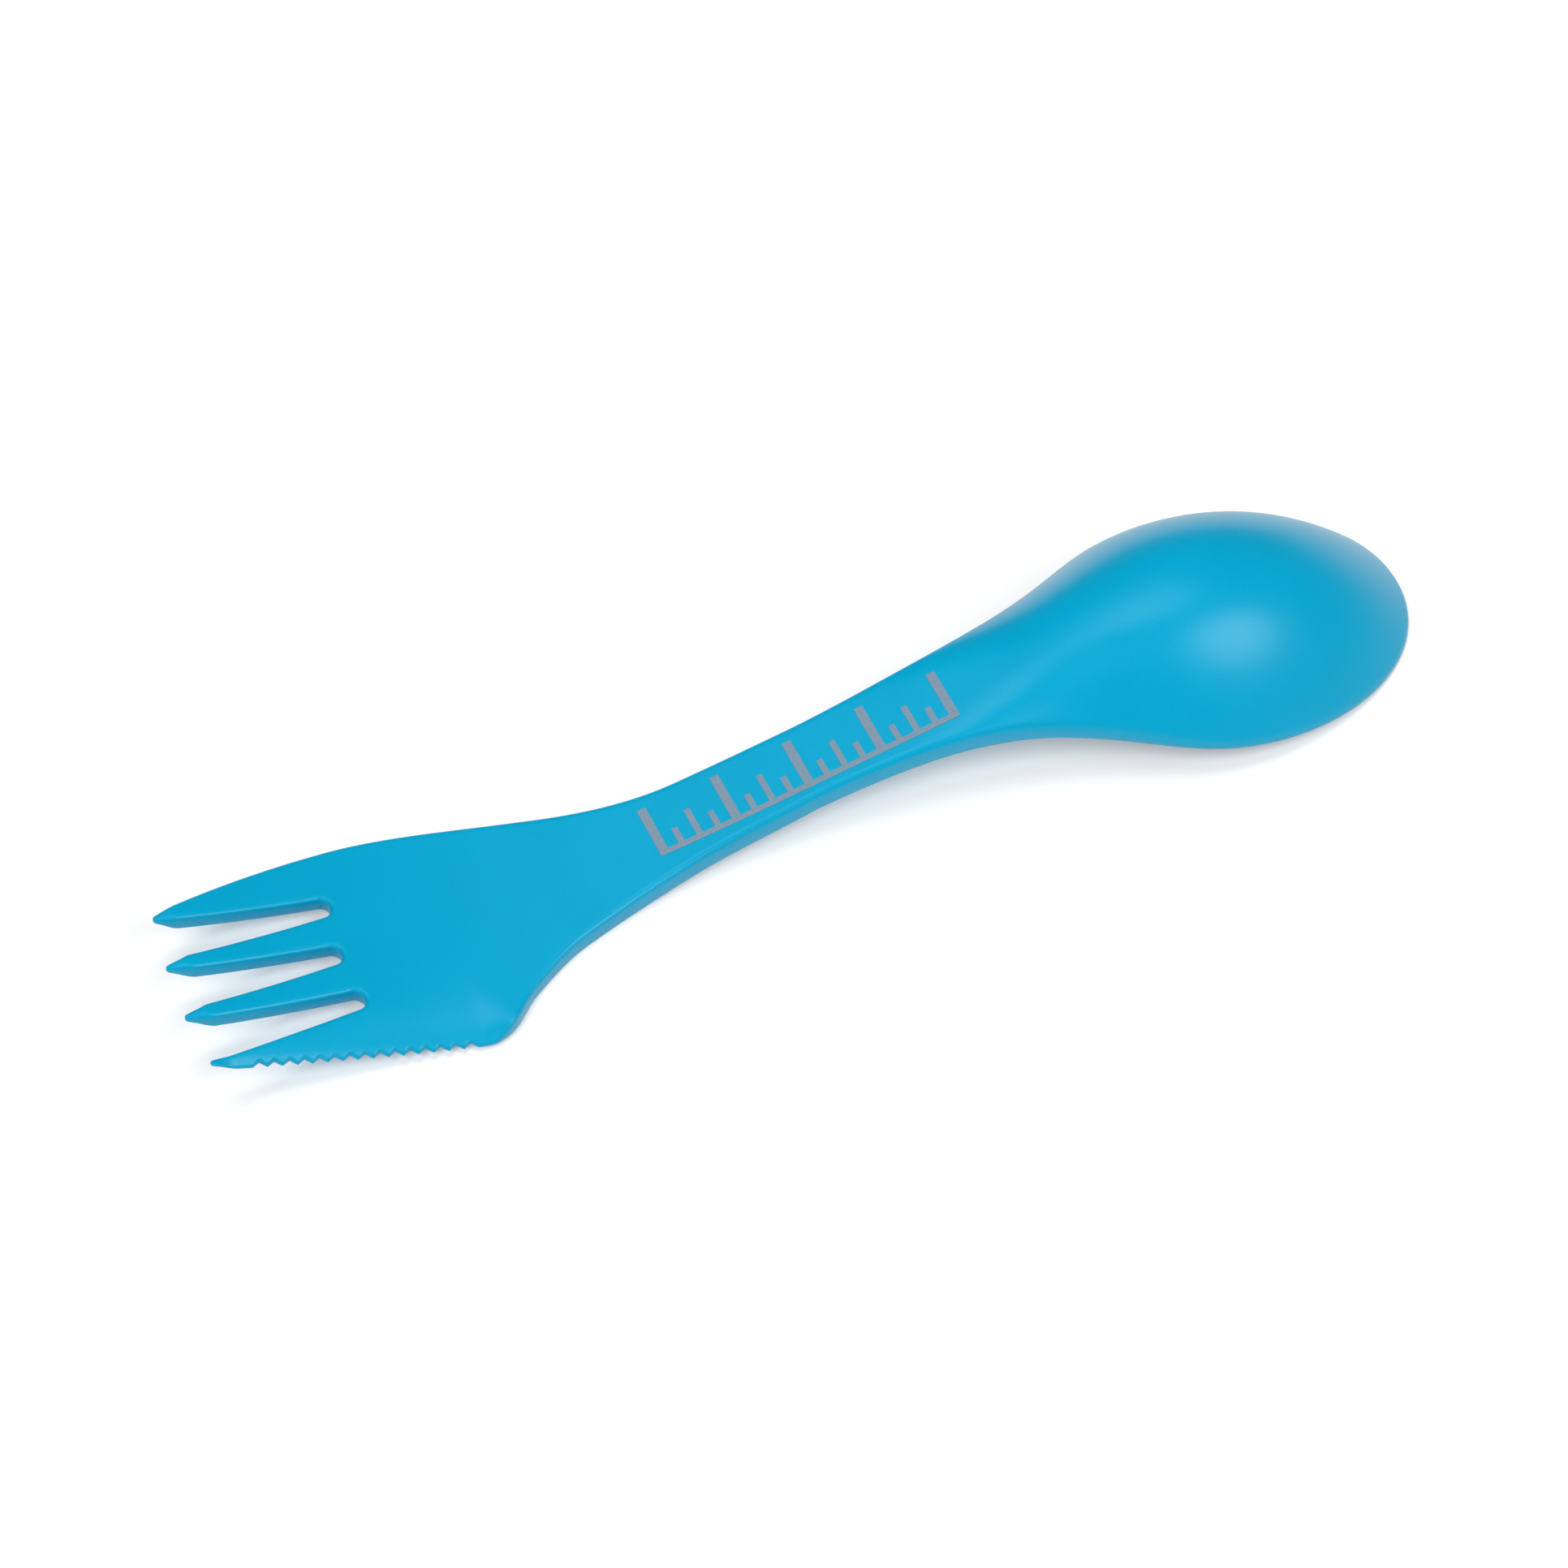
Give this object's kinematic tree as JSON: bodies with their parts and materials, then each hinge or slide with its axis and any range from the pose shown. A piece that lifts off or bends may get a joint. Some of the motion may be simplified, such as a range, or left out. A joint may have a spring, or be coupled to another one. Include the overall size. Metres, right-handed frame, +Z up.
{
  "type": "spork",
  "caption": "One-piece moulded camping utensil with a spoon bowl at one end, a flat curved handle and a tined fork with a serrated cutting edge at the other.",
  "frame": {"origin": "middle of the footprint, on the table that the spork lies on, face down", "axes": "+X from the tine tips to the tip of the bowl, +Y to the side away from the cutting edge, +Z up through the back of the bowl"},
  "size_m": [0.17, 0.0391, 0.018],
  "materials": {
    "moulding": "turquoise-blue polypropylene, fine spark-eroded grain, semi-matt",
    "print_ink": "flat grey pad-printing ink"
  },
  "bodies": {
    "spork": {"spork_moulding": "moulding", "handle_scale": "print_ink"}
  },
  "joints": []
}
